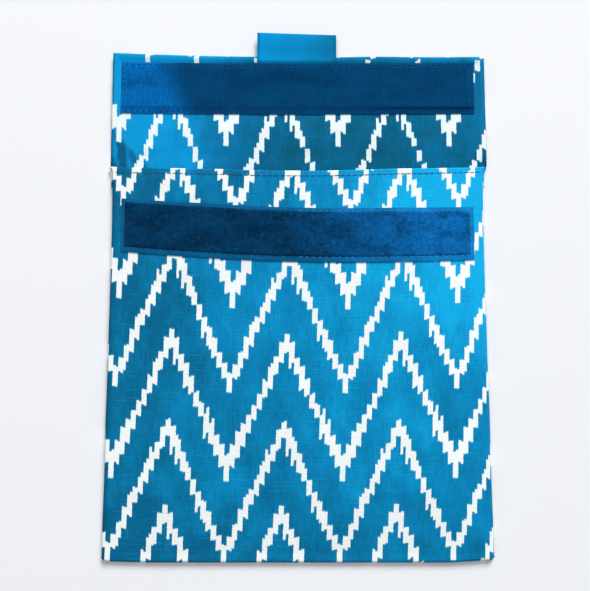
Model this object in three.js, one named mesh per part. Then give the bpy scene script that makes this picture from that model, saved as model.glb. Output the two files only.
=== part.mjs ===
// Reusable sandwich bag: a lined cloth pouch with a lined flap, a hook tape, a loop tape and a ribbon tab.
// It lies on its back with the flap turned open and the mouth a little agape.
// Millimetres. +X runs across the bag, +Y from the bottom fold to the tab, +Z up from the table.
// Lengths along Y are counted from the bottom fold, and the whole bag is centred on the origin at the end.

import * as THREE from 'three';

// Pouch
const pouchWidth = 204;
const mouthHeight = 211;
const mouthSag = 3;

// Cloth, lining and ribbon
const clothThickness = 0.8;
const liningThickness = 0.5;
const ribbonThickness = 0.35;
const clothCornerRadius = 0.4;
const layerGap = 0.1;
const cutGap = 0.3;

// How far front and back stand apart inside
const bottomLift = 0.25;
const closedGape = 2.5;
const mouthGape = 10;
const bottomRise = 65;

// Side seams
const seamWidth = 4.6;
const seamThickness = 2.2;
const seamEdgeRadius = 0.8;
const sideWallThickness = 1.6;
const sideWallStep = 1;

// Mouth
const turnInWidth = 10;
const turnInThickness = 0.8;
const topstitchInset = 3;

// Flap
const flapOverhang = 1.5;
const foldAboveMouth = 2.8;
const flapReach = 60.8;
const flapCornerRadius = 1.5;
const allowanceWidth = 3.3;

// Hook and loop tapes
const tapeBase = 0.6;
const pileHeight = 0.9;
const hookHeight = 1;
const tapeMargin = 2;
const loopTapeSideMargin = 7;
const loopTapeHeight = 29.2;
const loopTapeSag = 5;
const loopTapeBelowMouth = 19.8;
const hookTapeSideMargin = 5.5;
const hookTapeHeight = 29.4;
const hookTapeInset = 4.3;

// Stitching
const threadWidth = 0.5;
const threadHeight = 0.2;
const threadInset = 1.2;

// Pull tab
const tabWidth = 45;
const tabReach = 12.4;
const tabTuck = 4.2;
const tabSlot = 0.15;

// Widths of the short ramps where cloth climbs over an edge below it
const rampWidth = 0.6;

// Places that follow from the sizes
const halfPouch = pouchWidth / 2;
const flapWidth = pouchWidth + 2 * flapOverhang;
const halfFlap = flapWidth / 2;
const loopTapeLength = pouchWidth - 2 * loopTapeSideMargin;
const hookTapeLength = flapWidth - 2 * hookTapeSideMargin;
const panelHalf = halfPouch - seamWidth - cutGap;
const foldY = mouthHeight + foldAboveMouth;
const flapStart = foldY + cutGap / 2;
const flapEdge = foldY + flapReach;
const tabTip = flapEdge + tabReach;
const pouchFloor = clothThickness + liningThickness;
const bottomThickness = pouchFloor + bottomLift + liningThickness + layerGap + clothThickness;
const foldLeg = bottomThickness + 2;
const frontStart = foldLeg + cutGap;
const gapeSlope = (mouthGape - closedGape) / (mouthHeight - frontStart);
const seamTop = clothThickness + seamThickness;
const flapLiningBase = clothThickness + layerGap;
const edgeLift = clothThickness + layerGap;
const hookTapeBottom = flapLiningBase + liningThickness + layerGap;
const hookTop = hookTapeBottom + tapeBase + hookHeight;
const hookTapeHigh = flapEdge - hookTapeInset;
const hookTapeLow = hookTapeHigh - hookTapeHeight;
const ribbonStack = 2 * ribbonThickness + tabSlot;
const halfTab = tabWidth / 2;

// Evenly spaced numbers from start to end.
function spread(start, end, steps) {
  const values = [];
  for (let i = 0; i <= steps; i += 1) {
    values.push(start + ((end - start) * i) / steps);
  }
  return values;
}

// A ramp from 0 at start to 1 at end.
function ramp(value, start, end) {
  return Math.min(1, Math.max(0, (value - start) / (end - start)));
}

// How far a line that is straight at the side seams sags towards the bottom at x.
function sagAt(x, depth) {
  return depth * (1 - (x / halfPouch) ** 2);
}

// The mouth's edge on the front panel.
function mouthEdge(x) {
  return mouthHeight - sagAt(x, mouthSag);
}

// The height of the space between the linings at y.
function gapeAt(y) {
  const rise = ramp(y, frontStart, frontStart + bottomRise);
  const rounded = 1 - (1 - rise) ** 2;
  return bottomLift + (closedGape - bottomLift) * rounded + gapeSlope * (y - frontStart);
}

// The lower and the upper face of the front panel's outer cloth at y.
function frontLower(y) {
  return pouchFloor + liningThickness + layerGap + gapeAt(y);
}

function frontUpper(y) {
  return frontLower(y) + clothThickness;
}

// A closed sheet between a lower and an upper face, on a grid of x stops and, at each x, y stops.
function sheet(xStops, yStopsAt, lower, upper) {
  const rows = yStopsAt(xStops[0]).length;
  const columns = xStops.length;
  const positions = [];
  for (const face of [lower, upper]) {
    for (const x of xStops) {
      for (const y of yStopsAt(x)) {
        positions.push(x, y, face(x, y));
      }
    }
  }
  const size = columns * rows;
  const indices = [];
  const at = (column, row) => column * rows + row;
  for (let c = 0; c < columns - 1; c += 1) {
    for (let r = 0; r < rows - 1; r += 1) {
      const a = at(c, r);
      const b = at(c + 1, r);
      const d = at(c + 1, r + 1);
      const e = at(c, r + 1);
      indices.push(size + a, size + b, size + d, size + a, size + d, size + e);
      indices.push(a, d, b, a, e, d);
    }
  }
  const wall = (a, b) => indices.push(a, b, size + b, a, size + b, size + a);
  for (let c = 0; c < columns - 1; c += 1) {
    wall(at(c, 0), at(c + 1, 0));
    wall(at(c + 1, rows - 1), at(c, rows - 1));
  }
  for (let r = 0; r < rows - 1; r += 1) {
    wall(at(columns - 1, r), at(columns - 1, r + 1));
    wall(at(0, r + 1), at(0, r));
  }
  return indexedGeometry(positions, indices);
}

// A closed band between two rectangles, one inside the other, on stops along X and Y.
function frameBand(xStops, yStops, inset, width, place, lower, upper) {
  const ring = rectangleRing(xStops, yStops);
  const positions = [];
  for (const [distance, face] of [[inset, lower], [inset + width, lower], [inset, upper], [inset + width, upper]]) {
    for (const point of ring) {
      const x = point.x - point.sideX * distance;
      const y = place(x, point.y - point.sideY * distance);
      positions.push(x, y, face(x, y));
    }
  }
  const count = ring.length;
  const indices = [];
  const quad = (a, b, c, d) => indices.push(a, b, c, a, c, d);
  for (let i = 0; i < count; i += 1) {
    const j = (i + 1) % count;
    quad(i, j, 2 * count + j, 2 * count + i);
    quad(count + j, count + i, 3 * count + i, 3 * count + j);
    quad(2 * count + i, 2 * count + j, 3 * count + j, 3 * count + i);
    quad(j, i, count + i, count + j);
  }
  return indexedGeometry(positions, indices);
}

// The points round a rectangle, anticlockwise, each with the sides that it lies on.
function rectangleRing(xStops, yStops) {
  const left = xStops[0];
  const right = xStops[xStops.length - 1];
  const low = yStops[0];
  const high = yStops[yStops.length - 1];
  const sideOf = (value, least, most) => (value === least ? -1 : 0) + (value === most ? 1 : 0);
  const points = [];
  const add = (x, y) => points.push({ x, y, sideX: sideOf(x, left, right), sideY: sideOf(y, low, high) });
  for (const x of xStops.slice(0, -1)) {
    add(x, low);
  }
  for (const y of yStops.slice(0, -1)) {
    add(right, y);
  }
  for (const x of xStops.slice(1).reverse()) {
    add(x, high);
  }
  for (const y of yStops.slice(1).reverse()) {
    add(left, y);
  }
  return points;
}

function indexedGeometry(positions, indices) {
  const geometry = new THREE.BufferGeometry();
  geometry.setAttribute('position', new THREE.Float32BufferAttribute(positions, 3));
  geometry.setIndex(indices);
  geometry.computeVertexNormals();
  return geometry;
}

// A flat plate with rounded corners.
function plate(width, low, high, bottom, thickness, radius) {
  const half = width / 2;
  const outline = new THREE.Shape();
  outline.moveTo(-half + radius, low);
  outline.lineTo(half - radius, low);
  outline.absarc(half - radius, low + radius, radius, -Math.PI / 2, 0);
  outline.lineTo(half, high - radius);
  outline.absarc(half - radius, high - radius, radius, 0, Math.PI / 2);
  outline.lineTo(-half + radius, high);
  outline.absarc(-half + radius, high - radius, radius, Math.PI / 2, Math.PI);
  outline.lineTo(-half, low + radius);
  outline.absarc(-half + radius, low + radius, radius, Math.PI, Math.PI * 1.5);
  const geometry = new THREE.ExtrudeGeometry(outline, { depth: thickness, bevelEnabled: false, curveSegments: 4 });
  geometry.translate(0, 0, bottom);
  return geometry;
}

// A strip folded once: two legs from y = open, joined by a round bend that ends at y = bend.
function foldedStrip(open, bend, left, right, bottom, total, thickness) {
  const radius = total / 2;
  const inner = radius - thickness;
  const towards = Math.sign(bend - open);
  const centre = bend - towards * radius;
  const turn = (angle) => (towards > 0 ? angle : Math.PI - angle);
  const outline = new THREE.Shape();
  outline.moveTo(open, 0);
  outline.lineTo(centre, 0);
  outline.absarc(centre, radius, radius, turn(-Math.PI / 2), turn(Math.PI / 2), towards < 0);
  outline.lineTo(open, total);
  outline.lineTo(open, total - thickness);
  outline.lineTo(centre, total - thickness);
  outline.absarc(centre, radius, inner, turn(Math.PI / 2), turn(-Math.PI / 2), towards > 0);
  outline.lineTo(open, thickness);
  outline.closePath();
  const geometry = new THREE.ExtrudeGeometry(outline, {
    depth: right - left,
    bevelEnabled: false,
    curveSegments: 8,
  });
  const alongX = new THREE.Matrix4().makeBasis(
    new THREE.Vector3(0, 1, 0),
    new THREE.Vector3(0, 0, 1),
    new THREE.Vector3(1, 0, 0),
  );
  geometry.applyMatrix4(alongX);
  geometry.translate(left, 0, bottom);
  return geometry;
}

// Materials
const canvas = { color: 0x1382b6, roughness: 0.85, metalness: 0 };
const laminated = { color: 0x1191cd, roughness: 0.4, metalness: 0 };
const tape = { color: 0x053a63, roughness: 0.9, metalness: 0 };
const hookTapeFinish = { color: 0x05487f, roughness: 0.45, metalness: 0 };
const ribbon = { color: 0x008ac8, roughness: 0.35, metalness: 0 };
const thread = { color: 0x2b5c7d, roughness: 0.7, metalness: 0 };

const bag = new THREE.Group();
bag.position.y = -tabTip / 2;

function add(name, geometry, finish) {
  const mesh = new THREE.Mesh(geometry, new THREE.MeshStandardMaterial(finish));
  mesh.name = name;
  bag.add(mesh);
}

// Back of the pouch
function backOuter() {
  return plate(pouchWidth, foldLeg, foldY - cutGap / 2, 0, clothThickness, clothCornerRadius);
}

function backLining() {
  const width = 2 * panelHalf;
  return plate(width, frontStart, foldY - cutGap / 2, clothThickness, liningThickness, clothCornerRadius);
}

function bottomFold() {
  return foldedStrip(foldLeg, 0, -halfPouch, halfPouch, 0, bottomThickness, clothThickness);
}

// One turned side seam, a band with a rounded outer edge on the back cloth.
function sideSeam(side) {
  const inside = panelHalf + cutGap;
  const outline = new THREE.Shape();
  const round = seamEdgeRadius;
  outline.moveTo(inside, clothThickness);
  outline.lineTo(halfPouch, clothThickness);
  outline.lineTo(halfPouch, seamTop - round);
  outline.absarc(halfPouch - round, seamTop - round, round, 0, Math.PI / 2);
  outline.lineTo(inside, seamTop);
  outline.closePath();
  const low = foldLeg + cutGap;
  const geometry = new THREE.ExtrudeGeometry(outline, {
    depth: mouthHeight - low,
    bevelEnabled: false,
    curveSegments: 4,
  });
  const alongY = new THREE.Matrix4().makeBasis(
    new THREE.Vector3(1, 0, 0),
    new THREE.Vector3(0, 0, 1),
    new THREE.Vector3(0, -1, 0),
  );
  geometry.applyMatrix4(alongY);
  if (side < 0) {
    geometry.rotateZ(Math.PI);
    geometry.translate(0, low, 0);
  } else {
    geometry.translate(0, mouthHeight, 0);
  }
  return geometry;
}

// The front cloth's side, which leans from the seam up to the front panel.
function frontSide(side) {
  const foot = seamTop + layerGap;
  const least = foot + clothThickness;
  let start = frontStart;
  while (frontUpper(start) < least) {
    start += sideWallStep;
  }
  const stops = spread(start, mouthEdge(panelHalf) - cutGap, 10);
  const positions = [];
  for (const y of stops) {
    const top = frontUpper(y);
    const outer = halfPouch - seamEdgeRadius;
    const lean = panelHalf + cutGap;
    const ring = [
      [outer - sideWallThickness, foot],
      [outer, foot],
      [lean + sideWallThickness, top],
      [lean, top],
    ];
    for (const [x, z] of ring) {
      positions.push(side * x, y, z);
    }
  }
  const indices = [];
  const quad = (a, b, c, d) => {
    if (side > 0) {
      indices.push(a, c, b, a, d, c);
    } else {
      indices.push(a, b, c, a, c, d);
    }
  };
  for (let s = 0; s < stops.length - 1; s += 1) {
    for (let k = 0; k < 4; k += 1) {
      const next = (k + 1) % 4;
      quad(s * 4 + k, s * 4 + next, (s + 1) * 4 + next, (s + 1) * 4 + k);
    }
  }
  const last = (stops.length - 1) * 4;
  quad(3, 2, 1, 0);
  quad(last, last + 1, last + 2, last + 3);
  return indexedGeometry(positions, indices);
}

// Front of the pouch
function frontColumns() {
  return spread(-panelHalf, panelHalf, 16);
}

function frontRows(x) {
  const bend = frontStart + bottomRise;
  return [...spread(frontStart, bend, 10), mouthEdge(x)];
}

function frontOuter() {
  return sheet(frontColumns(), frontRows, (x, y) => frontLower(y), (x, y) => frontUpper(y));
}

// The front lining dips below the mouth's turned in edge.
function frontLining() {
  const dip = turnInThickness + layerGap;
  const foot = turnInWidth + layerGap;
  const rows = (x) => {
    const edge = mouthEdge(x);
    const bend = frontStart + bottomRise;
    return [...spread(frontStart, bend, 10), edge - foot - 3, edge - foot, edge];
  };
  const upper = (x, y) => {
    const below = mouthEdge(x) - y;
    return frontLower(y) - layerGap - dip * (1 - ramp(below, foot, foot + 3));
  };
  return sheet(frontColumns(), rows, (x, y) => upper(x, y) - liningThickness, upper);
}

function mouthTurnIn() {
  const rows = (x) => [mouthEdge(x) - turnInWidth, mouthEdge(x)];
  const upper = (x, y) => frontLower(y) - layerGap;
  return sheet(frontColumns(), rows, (x, y) => upper(x, y) - turnInThickness, upper);
}

function mouthTopstitch() {
  const middle = (x) => mouthEdge(x) - topstitchInset;
  const rows = (x) => [middle(x) - threadWidth / 2, middle(x) + threadWidth / 2];
  const lower = (x, y) => frontUpper(y) + layerGap / 2;
  return sheet(frontColumns(), rows, lower, (x, y) => lower(x, y) + threadHeight);
}

// Stops across a tape, with a close pair where its raised field begins and ends.
function tapeStops(low, high, steps) {
  const inside = tapeMargin + rampWidth / 2;
  return [low, low + tapeMargin, ...spread(low + inside, high - inside, steps), high - tapeMargin, high];
}

// How much of a tape's raised field stands at a distance from the tape's nearest edge.
function fieldAt(distance) {
  return ramp(distance, tapeMargin, tapeMargin + rampWidth / 2);
}

// The loop tape's lower edge.
function loopTapeLow(x) {
  return mouthHeight - loopTapeBelowMouth - loopTapeHeight - sagAt(x, loopTapeSag);
}

function loopTape() {
  const half = loopTapeLength / 2;
  const rows = (x) => tapeStops(loopTapeLow(x), loopTapeLow(x) + loopTapeHeight, 2);
  const lower = (x, y) => frontUpper(y) + layerGap;
  const upper = (x, y) => {
    const up = y - loopTapeLow(x);
    const distance = Math.min(half - Math.abs(x), up, loopTapeHeight - up);
    return lower(x, y) + tapeBase + pileHeight * fieldAt(distance);
  };
  return sheet(tapeStops(-half, half, 16), rows, lower, upper);
}

function loopTapeStitching() {
  const half = loopTapeLength / 2;
  const lower = (x, y) => frontUpper(y) + layerGap + tapeBase + layerGap / 2;
  return frameBand(
    spread(-half, half, 16),
    [0, loopTapeHeight],
    threadInset,
    threadWidth,
    (x, y) => y + loopTapeLow(x),
    lower,
    (x, y) => lower(x, y) + threadHeight,
  );
}

// Flap
function flapOuter() {
  return plate(flapWidth, flapStart, flapEdge, 0, clothThickness, flapCornerRadius);
}

function flapSideAllowance(side) {
  const geometry = new THREE.BoxGeometry(allowanceWidth, flapEdge - flapStart - flapCornerRadius, clothThickness);
  geometry.translate(
    side * (halfFlap - allowanceWidth / 2),
    (flapStart + flapEdge - flapCornerRadius) / 2,
    flapLiningBase + clothThickness / 2,
  );
  return geometry;
}

function flapEdgeAllowance() {
  const width = flapWidth - 2 * allowanceWidth - 2 * cutGap;
  const geometry = new THREE.BoxGeometry(width, allowanceWidth, clothThickness);
  geometry.translate(0, flapEdge - allowanceWidth / 2, flapLiningBase + clothThickness / 2);
  return geometry;
}

// The flap lining's upper face, which climbs over the turned seam allowances.
function flapLiningTop(x, y) {
  const distance = Math.min(halfFlap - Math.abs(x), flapEdge - y);
  const climb = 1 - ramp(distance, allowanceWidth + layerGap, allowanceWidth + layerGap + rampWidth);
  return flapLiningBase + edgeLift * climb + liningThickness;
}

function flapLining() {
  const foot = allowanceWidth + layerGap;
  const inside = foot + rampWidth;
  const across = [
    -halfFlap,
    -halfFlap + foot,
    -halfFlap + inside,
    0,
    halfFlap - inside,
    halfFlap - foot,
    halfFlap,
  ];
  const along = [flapStart, flapEdge - inside, flapEdge - foot, flapEdge - layerGap];
  return sheet(across, () => along, (x, y) => flapLiningTop(x, y) - liningThickness, flapLiningTop);
}

// How much the hook tape is lifted by the tab's sewn ends below it.
function tabBump(x, y) {
  const sideways = Math.abs(x) - halfTab;
  const overTab = 1 - ramp(sideways, cutGap, cutGap + rampWidth);
  return overTab * ramp(y, hookTapeHigh - tabTuck - cutGap - rampWidth, hookTapeHigh - tabTuck - cutGap);
}

function hookTapeLower(x, y) {
  return hookTapeBottom + (ribbonStack + layerGap) * tabBump(x, y);
}

function hookTapeBaseTop(x, y) {
  return hookTapeLower(x, y) + tapeBase;
}

// Stops along X where the tab's bump begins and ends.
function bumpStops() {
  const near = halfTab + cutGap;
  const far = near + rampWidth;
  return [-far, -near, near, far];
}

function hookTape() {
  const half = hookTapeLength / 2;
  const across = [...tapeStops(-half, half, 1), ...bumpStops()].sort((a, b) => a - b);
  const bumpStart = hookTapeHigh - tabTuck - cutGap;
  const along = [...tapeStops(hookTapeLow, hookTapeHigh, 1), bumpStart - rampWidth, bumpStart];
  along.sort((a, b) => a - b);
  const upper = (x, y) => {
    const base = hookTapeBaseTop(x, y);
    const distance = Math.min(half - Math.abs(x), y - hookTapeLow, hookTapeHigh - y);
    return base + Math.max(0, hookTop - base) * fieldAt(distance);
  };
  return sheet(across, () => along, hookTapeLower, upper);
}

function hookTapeStitching() {
  const half = hookTapeLength / 2;
  const lower = (x, y) => hookTapeBaseTop(x, y) + layerGap / 2;
  return frameBand(
    [-half, ...bumpStops(), half],
    [hookTapeLow, hookTapeHigh],
    threadInset,
    threadWidth,
    (x, y) => y,
    lower,
    (x, y) => lower(x, y) + threadHeight,
  );
}

// Pull tab: its sewn ends lie on the flap's edge and under the hook tape, its fold stands out past the edge.
function pullTabSewnEnds() {
  const climb = flapEdge - allowanceWidth - layerGap;
  const along = [hookTapeHigh - tabTuck, climb - rampWidth, climb, flapEdge - cutGap / 2];
  const lower = (x, y) => flapLiningTop(x, y) + layerGap;
  return sheet([-halfTab, halfTab], () => along, lower, (x, y) => lower(x, y) + ribbonStack);
}

function pullTab() {
  const bottom = flapLiningBase + edgeLift + liningThickness + layerGap;
  return foldedStrip(flapEdge + cutGap, tabTip, -halfTab, halfTab, bottom, ribbonStack, ribbonThickness);
}

add('back_outer', backOuter(), canvas);
add('back_lining', backLining(), laminated);
add('bottom_fold', bottomFold(), canvas);
add('left_side_seam', sideSeam(-1), canvas);
add('right_side_seam', sideSeam(1), canvas);
add('left_front_side', frontSide(-1), canvas);
add('right_front_side', frontSide(1), canvas);
add('front_outer', frontOuter(), canvas);
add('front_lining', frontLining(), laminated);
add('mouth_turn_in', mouthTurnIn(), canvas);
add('mouth_topstitch', mouthTopstitch(), thread);
add('loop_tape', loopTape(), tape);
add('loop_tape_stitching', loopTapeStitching(), thread);
add('flap_outer', flapOuter(), canvas);
add('flap_left_allowance', flapSideAllowance(-1), canvas);
add('flap_right_allowance', flapSideAllowance(1), canvas);
add('flap_edge_allowance', flapEdgeAllowance(), canvas);
add('flap_lining', flapLining(), laminated);
add('hook_tape', hookTape(), hookTapeFinish);
add('hook_tape_stitching', hookTapeStitching(), thread);
add('pull_tab_sewn_ends', pullTabSewnEnds(), ribbon);
add('pull_tab', pullTab(), ribbon);

export default bag;
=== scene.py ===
"""A reusable sandwich bag of blue canvas with a white zigzag print. It lies on its back with the flap open.

Lengths are in millimetres until make_piece turns them into metres of the row frame. x runs across the bag,
y up from the bottom fold and z up from the table. On cloth and tape, u runs across and v along the weave.
"""

import math

import bpy
import numpy as np
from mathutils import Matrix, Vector


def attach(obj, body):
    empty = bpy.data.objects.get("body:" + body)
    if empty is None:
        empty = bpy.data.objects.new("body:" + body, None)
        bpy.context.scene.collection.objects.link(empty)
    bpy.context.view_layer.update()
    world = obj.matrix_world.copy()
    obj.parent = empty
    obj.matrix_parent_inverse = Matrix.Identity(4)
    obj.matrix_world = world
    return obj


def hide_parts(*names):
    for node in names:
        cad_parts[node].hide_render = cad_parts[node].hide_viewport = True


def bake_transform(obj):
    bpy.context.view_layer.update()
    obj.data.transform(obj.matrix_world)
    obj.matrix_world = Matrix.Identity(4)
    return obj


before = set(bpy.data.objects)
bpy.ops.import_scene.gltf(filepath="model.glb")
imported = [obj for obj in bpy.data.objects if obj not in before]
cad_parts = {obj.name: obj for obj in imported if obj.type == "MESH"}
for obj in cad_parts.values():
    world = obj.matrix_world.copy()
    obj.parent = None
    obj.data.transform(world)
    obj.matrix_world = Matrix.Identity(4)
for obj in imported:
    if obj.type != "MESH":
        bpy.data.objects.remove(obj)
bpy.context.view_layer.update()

# The bag's measures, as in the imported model.
POUCH_HALF = 102.0
FLAP_HALF = 103.6
FLAP_ASIDE = 0.6
LINING_HALF = 98.6
BACK_START = 4.95
LINING_START = 5.75
MOUTH = 211.0
FOLD = 213.8
FLAP_EDGE = 274.6
HALF_LENGTH = 143.5
CLOTH = 0.7
LINING = 0.45
SEAM_HEIGHT = 1.475
FLAP_SEAM_HEIGHT = 1.15
LINING_TOP = 1.4
TURN_IN = 10.0

# How the cloth's edges are rounded, as radii and the angle that a side rolls through.
SIDE_ROLL = 1.5
FLAP_ROLL = 1.2
LINING_ROLL = 0.8
MOUTH_ROLL = 0.83
CORNER = 2.2
ROLL_TURN = 112.0

# The ridge that the flap's turned edges raise in its lining.
RIDGE = 0.9
RIDGE_WIDTH = 3.4

# The front rises from its hinge, by the mouth's angle. It does so fully this far in from the side seams. Its
# cloth also swells, at its sides and more over its middle, and takes this length for it.
HINGE = 5.25
GAPE_SLOPE = math.sin(math.radians(2.09))
GAPE_REACH = 60.0
SIDE_RISE = 1.1
CROWN = 1.15
RISE_LENGTH = 65.0

# The loop tape, with the pile inside its flat borders.
LOOP_HALF = 95.6
LOOP_CENTRE = -0.2
LOOP_HEIGHT = 29.2
LOOP_START = 161.9
LOOP_SAG = 5.0
LOOP_TILT = 2.3
PILE_INSET = 1.9
PILE_BELOW = 2.8
PILE_THICKNESS = 0.3
FIBRES_A_SIDE = 3000

# The hook tape, with the field of hooks inside its borders.
HOOK_HALF = 98.0
HOOK_START = 240.9
HOOK_END = 270.3
HOOK_FIELD = 3.2
HOOK_HIGH = 0.62
HOOK_STEP = 1.25
HOOK_ROW = 1.15
TAPE_BASE = 0.6

# The stitches, and how far their rings lie outside the pile and inside the hook tape.
TOPSTITCH = {"stitch": 3.0, "gap": 0.16, "radius": 0.17}
LOOP_STITCH = {"stitch": 2.1, "gap": 1.3, "radius": 0.19}
HOOK_STITCH = {"stitch": 2.2, "gap": 1.0, "radius": 0.19}
TOPSTITCH_INSET = 3.0
PUCKER_PITCH = 7.3
LOOP_RING_OUT = 0.15
HOOK_RING_IN = 1.45

# The ribbon of the pull tab, and its two layers' distance.
TAB_HALF = 21.95
TAB_ASIDE = -0.5
TAB_START = 266.3
TAB_END = 287.0
TAB_BEND = 0.5
RIBBON = 0.32
TAB_GAP = 2 * RIBBON + 0.1

# The print. One zigzag takes PERIOD across, in COLUMNS bars. Each bar stands CLIMB above the one before, and
# the next zigzag ROW above this one.
PERIOD = 60.8
COLUMNS = 22
COLUMN = PERIOD / COLUMNS
CLIMB = 6.22
ROW = 46.25
FOOT_COLUMN = 2.0
BARB_COLUMN = 12.0

# The distances of the cloth's threads.
WARP_PITCH = 0.62
WEFT_PITCH = 0.47

# The camera stands this far from the bag's middle and leans this far from straight above.
CAMERA_DISTANCE = 434.0
CAMERA_LEAN = 6.4
CAMERA_AIM = (-1.45, 140.2, 0.0)
LENS = 48.7


def smooth(low, high, value):
    """0 below low, 1 above high and an even curve between them."""
    t = np.clip((value - low) / (high - low), 0, 1)
    return t * t * (3 - 2 * t)


def ripple(x, y, seed, shortest, longest, count=12):
    """Gentle waves in all directions, between about -1 and 1."""
    random = np.random.default_rng(seed)
    total = np.zeros(np.broadcast(x, y).shape)
    for _ in range(count):
        angle = random.uniform(0, 2 * math.pi)
        turns = 2 * math.pi / random.uniform(shortest, longest)
        start = random.uniform(0, 2 * math.pi)
        total = total + np.sin(turns * (x * math.cos(angle) + y * math.sin(angle)) + start)
    return total / math.sqrt(2 * count)


# The surfaces that the pieces lie on.


def cloth_sag(x, v):
    """How far the front cloth hangs down at its middle, because the mouth gapes."""
    depth = np.interp(v, [0, 60, 95, 130, 160, 187, 211], [0, 0.5, 1.7, 3.5, 5.6, 5.8, 4.6])
    return depth * (1 - (x / POUCH_HALF) ** 2)


def gape_weight(x):
    """0 at the side seams and 1 over the middle, which rises with the front body."""
    return smooth(0, GAPE_REACH, POUCH_HALF - np.abs(x))


def loop_offset(x):
    """How far the loop tape is moved by the sag of the cloth and by the slant that it is sewn at."""
    return -LOOP_SAG * (1 - (x / POUCH_HALF) ** 2) - LOOP_TILT * x / LOOP_HALF


def front_relief(x, y):
    """Creases and stitch puckers of the front, which die away at its edges."""
    inner = smooth(2, 22, POUCH_HALF - np.abs(x)) * smooth(2, 22, y)
    low = LOOP_START + loop_offset(x)
    high = low + LOOP_HEIGHT
    on_tape = smooth(-6, 2, y - low) * smooth(-6, 2, high - y)
    broad = 0.42 * ripple(x, y, 11, 60, 110) + 0.16 * ripple(x, y, 12, 20, 42)
    upright = 0.10 * ripple(x, y * 0.25, 13, 14, 26)
    relief = (broad + upright) * (1 - 0.75 * on_tape)
    wobble = 1.2 * ripple(x, y * 0, 14, 40, 80)
    topstitch = MOUTH - TOPSTITCH_INSET - cloth_sag(x, MOUTH)
    for line, depth, reach in ((topstitch, 0.13, 3.0), (low, 0.12, 4.5), (high, 0.12, 4.5)):
        near = np.exp(-(((y - line) / reach) ** 2))
        relief = relief + depth * near * np.sin(2 * math.pi * x / PUCKER_PITCH + wobble + line * 0.01)
    return relief * inner


def front_height(x, y):
    """The top of the front cloth. The middle stands higher towards the mouth."""
    rise = 1 - (1 - np.clip((y - HINGE) / RISE_LENGTH, 0, 1)) ** 2
    side = 2 * SEAM_HEIGHT + SIDE_RISE * rise
    crown = CROWN * rise * smooth(0, 20, POUCH_HALF - np.abs(x))
    lift = np.clip(y - HINGE, 0, None) * GAPE_SLOPE * gape_weight(x)
    return side + crown + lift + front_relief(x, y)


def flap_lift(x, y):
    """The open flap doesn't lie quite flat."""
    free = smooth(FOLD + 2, FOLD + 30, y)
    left = 0.9 * smooth(50, 103, -x) * smooth(235, 274, y)
    swell = 0.28 * (1 + ripple(x, y, 21, 60, 120))
    return free * (left + np.clip(swell, 0, None))


def towards_left(x):
    """0 from a little left of the middle on, and 1 at the left side."""
    return np.clip((-x - 15) / 88, 0, 1)


def hook_offset(x):
    """The hook tape bows a little: its ends lie higher than its middle."""
    return 0.8 * towards_left(x) + 0.5 * np.clip(x / HOOK_HALF, 0, 1)


def flap_edge(x):
    """The flap's far edge, which runs a little askew on the left."""
    return FLAP_EDGE + 1.92 * towards_left(x) + 0.15 * ripple(x, x * 0, 22, 30, 70) - 0.3


def half_width(y):
    """Half the width over the seams. The bottom corners are rounded, and the flap is wider than the pouch."""
    body = POUCH_HALF + 0.2 * ripple(y, y * 0, 23, 45, 100) - 0.6 * np.exp(-(((y - 150) / 50) ** 2))
    body = body + 0.5 * (1 - smooth(10, 70, y))
    below = np.clip(CORNER - y, 0, CORNER)
    body = body - (CORNER - np.sqrt(CORNER**2 - below**2))
    return body + (FLAP_HALF - POUCH_HALF) * smooth(207, 212.5, y)


def corner_rise(x, y):
    """The ends of the bottom fold are drawn up a little, the right one more."""
    most = np.where(x < 0, 0.6, 1.1)
    return most * smooth(76, POUCH_HALF, np.abs(x)) * (1 - smooth(0, 45, y))


def aside(y):
    """The flap lies a little to the right of the pouch."""
    return FLAP_ASIDE * smooth(206, 213, y)


def slanted(x, y):
    """Where a row of the back runs, with the rise of the corners and the slant of the flap's edge."""
    return y + (flap_edge(x) - FLAP_EDGE) * smooth(FOLD, FLAP_EDGE, y) + corner_rise(x, y)


def lining_height(x, y):
    """The top of the back lining and of the flap's lining, which stands higher over the turned edges."""
    from_edge = np.minimum(FLAP_HALF - np.abs(x - FLAP_ASIDE), flap_edge(x) - y)
    over = 1 - smooth(RIDGE_WIDTH - 0.4, RIDGE_WIDTH + 0.9, from_edge)
    on_flap = smooth(FOLD - 0.5, FOLD + 3.5, y)
    clear = smooth(8, 20, FLAP_HALF - np.abs(x)) * smooth(FOLD + 2, FOLD + 10, y)
    clear = clear * smooth(2, 8, HOOK_START - y)
    puff = 0.35 * (1 + ripple(x, y, 24, 26, 60)) * clear
    return LINING_TOP + RIDGE * over * on_flap + np.clip(puff, 0, None) + flap_lift(x, y)


def loop_surface(x, y):
    """The top of the loop tape's base."""
    return front_height(x, y) + 0.08 + TAPE_BASE


def hook_surface(x, y):
    """The top of the hook tape's base, which lies on the lining and over the ribbon's ends."""
    over_tab = smooth(-9, 0.3, TAB_HALF - np.abs(x - TAB_ASIDE)) * smooth(-9, 0.3, y - TAB_START)
    flat = LINING_TOP + 0.06 + flap_lift(x, y)
    return flat + over_tab * (2 * RIBBON + 0.18) + TAPE_BASE


def tab_underside(x, y):
    """The height that the ribbon's lower side rests at, out to and beyond the flap's edge."""
    inside = np.minimum(y, flap_edge(x) - 1.4)
    return lining_height(x, inside) + 0.05 + 0.35 * smooth(0.5, 9, y - FLAP_EDGE)


# From arrays of points to pieces.


def to_frame(points):
    """Millimetres from the bottom fold to metres in the row frame."""
    moved = np.array(points, float).reshape(-1, 3) - np.array([0.0, HALF_LENGTH, 0.0])
    return moved / 1000.0


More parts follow.
